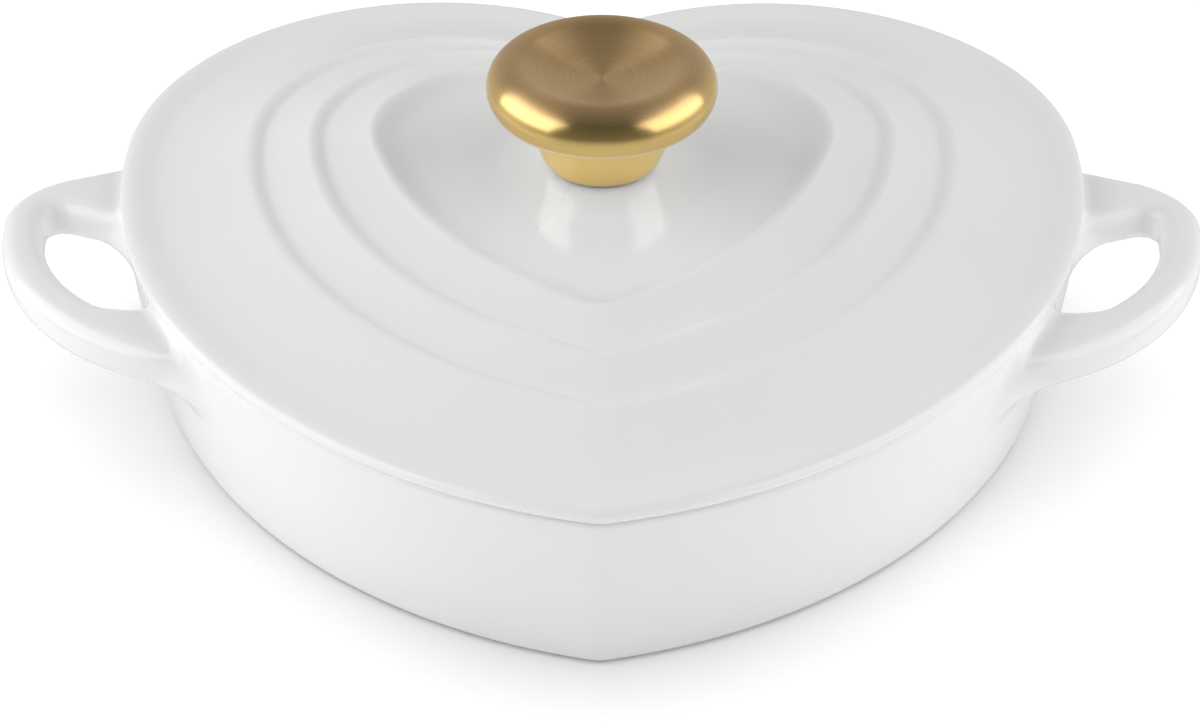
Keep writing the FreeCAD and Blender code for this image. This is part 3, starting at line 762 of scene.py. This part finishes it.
def build_world():
    """White all round for the camera, and a soft grey surround for light and reflections."""
    world = bpy.data.worlds.new("studio")
    world.use_nodes = True
    tree = world.node_tree
    sky = tree.nodes["Background"]
    direction = add_node(tree, "ShaderNodeTexCoord").outputs["Generated"]
    up = add_node(tree, "ShaderNodeSeparateXYZ", {0: direction})
    lift = ramp(tree, up.outputs["Z"], 0.2, 0.75, 0.44, 0.27)
    front = ramp(tree, up.outputs["Y"], -0.8, 0.6, 0.35, 1.35)
    grey = maths(tree, "MULTIPLY", lift, front)
    seen = add_node(tree, "ShaderNodeLightPath").outputs["Is Camera Ray"]
    sky.inputs["Color"].default_value = (1, 1, 1, 1)
    tree.links.new(maths(tree, "MAXIMUM", grey, seen), sky.inputs["Strength"])
    bpy.context.scene.world = world


# ---------------------------------------------------------------- operators

class CastPot(bpy.types.Operator):
    """Makes the enamelled pot with its two loop handles"""
    bl_idname = "casserole.cast_pot"
    bl_label = "Cast the pot"

    def execute(self, context):
        scene = context.scene
        pot = build_pot(scene.casserole_sizes)
        rim = scene.casserole_sizes.rim_height
        finish = enamel_material("pot enamel", scene.casserole_colours, (rim - 0.4 * MM, rim + MM))
        dress(pot, "pot", "pot_enamel", finish, replaces=["pot_casting"])
        return {"FINISHED"}


class CastLid(bpy.types.Operator):
    """Makes the lid with its three raised hearts"""
    bl_idname = "casserole.cast_lid"
    bl_label = "Cast the lid"

    def execute(self, context):
        scene = context.scene
        lid = build_lid(scene.casserole_sizes)
        seat = top_of("pot_casting")
        finish = enamel_material("lid enamel", scene.casserole_colours, (seat - 3 * MM, seat + 0.4 * MM))
        dress(lid, "lid", "lid_enamel", finish, replaces=["lid_casting"])
        return {"FINISHED"}


# Painted bounce light: the near-white colour that the gold shows to every ray but the camera's, to lighten
# the enamel round the knob.
PAINTED_BOUNCE_GOLD = (0.96, 0.94, 0.9, 1)
BRUSHED_FROM = 76       # the cap is brushed above this height, in millimetres, and polished below


class TurnKnob(bpy.types.Operator):
    """Makes the gold knob: a brushed cap on a polished stem"""
    bl_idname = "casserole.turn_knob"
    bl_label = "Turn the knob"

    def execute(self, context):
        colours = context.scene.casserole_colours
        brushed = metal_material("brushed gold", colours.gold_brushed, darker(colours.gold_brushed, 0.75),
                                 rings=7000, smooth=0.30, rough=0.38, depth=0.06, anisotropic=0.85,
                                 edge=(24 * MM, 27.7 * MM, darker(colours.gold, 0.85), 0.24), painted_bounce=PAINTED_BOUNCE_GOLD)
        polished = metal_material("polished gold", colours.gold, darker(colours.gold, 0.92),
                                  rings=3000, smooth=0.16, rough=0.22, depth=0.02, painted_bounce=PAINTED_BOUNCE_GOLD)
        cap = build_cap(context.scene.casserole_sizes)
        dress(cap, "lid", "brushed_gold", brushed, polished, replaces=["knob_cap"])
        for face in cap.data.polygons:
            face.material_index = int(face.center.z < BRUSHED_FROM * MM)
        dress(build_stem(), "lid", "polished_gold", polished, replaces=["knob_stem"])
        return {"FINISHED"}


class FitFastenings(bpy.types.Operator):
    """Fits the seal, and finishes the screw, washer and threaded insert"""
    bl_idname = "casserole.fit_fastenings"
    bl_label = "Fit the fastenings"

    def execute(self, context):
        colours = context.scene.casserole_colours
        dress(build_seal(), "lid", "seal_rubber", seal_material(colours), replaces=["knob_seal"])
        steel = metal_material("turned steel", colours.steel, darker(colours.steel, 0.85),
                               rings=2500, smooth=0.2, rough=0.32, depth=0.15)
        for node in ("knob_screw", "screw_washer", "knob_insert"):
            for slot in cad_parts[node].material_slots:
                slot.material = steel
        return {"FINISHED"}


class SetStage(bpy.types.Operator):
    """Sets out the pale floor, the soft lights and the camera"""
    bl_idname = "casserole.set_stage"
    bl_label = "Set the stage"

    def execute(self, context):
        scene = context.scene
        floor = build_floor(scene.casserole_colours)
        build_world()
        for name, side, watts in SOFTBOXES:
            place = (side * SOFTBOX_REACH, SOFTBOX_BACK, SOFTBOX_HEIGHT)
            share_light(add_light(name, place, LIGHT_TARGET, SOFTBOX_SIZE, watts), floor, "EXCLUDE")
        fill = add_light("fill", (0, -0.5, 1.2), LIGHT_TARGET, (1.0, 0.8), 1.8)
        fill.visible_glossy = False
        share_light(fill, floor, "EXCLUDE")
        share_light(add_light("floor wash", (0, 0, 1.6), (0, 0, 0), (3.0, 3.0), 47), floor, "INCLUDE")
        camera = bpy.data.objects.new("camera", bpy.data.cameras.new("camera"))
        camera.data.lens, camera.data.sensor_width = LENS, SENSOR
        camera.data.clip_start = 0.01
        camera.location = CAMERA_PLACE
        camera.rotation_euler = (CAMERA_TARGET - CAMERA_PLACE).to_track_quat("-Z", "Y").to_euler()
        scene.collection.objects.link(camera)
        scene.camera = camera
        scene.view_settings.view_transform = "Standard"
        return {"FINISHED"}


OPERATORS = (CastPot, CastLid, TurnKnob, FitFastenings, SetStage)


class CasserolePanel(bpy.types.Panel):
    """Lists the steps that make the casserole, and its sizes and colours"""
    bl_idname = "VIEW3D_PT_casserole"
    bl_label = "Casserole"
    bl_space_type = "VIEW_3D"
    bl_region_type = "UI"
    bl_category = "Casserole"

    def draw(self, context):
        for settings in (context.scene.casserole_sizes, context.scene.casserole_colours):
            box = self.layout.box()
            for name in settings.__annotations__:
                box.prop(settings, name)
        for operator in OPERATORS:
            self.layout.operator(operator.bl_idname)


CLASSES = (CasseroleSizes, CasseroleColours, *OPERATORS, CasserolePanel)


def register():
    for one in CLASSES:
        bpy.utils.register_class(one)
    bpy.types.Scene.casserole_sizes = bpy.props.PointerProperty(type=CasseroleSizes)
    bpy.types.Scene.casserole_colours = bpy.props.PointerProperty(type=CasseroleColours)


def unregister():
    del bpy.types.Scene.casserole_colours
    del bpy.types.Scene.casserole_sizes
    for one in reversed(CLASSES):
        bpy.utils.unregister_class(one)


def main():
    register()
    bpy.ops.casserole.cast_pot()
    bpy.ops.casserole.cast_lid()
    bpy.ops.casserole.turn_knob()
    bpy.ops.casserole.fit_fastenings()
    bpy.ops.casserole.set_stage()


if __name__ == "__main__":
    main()
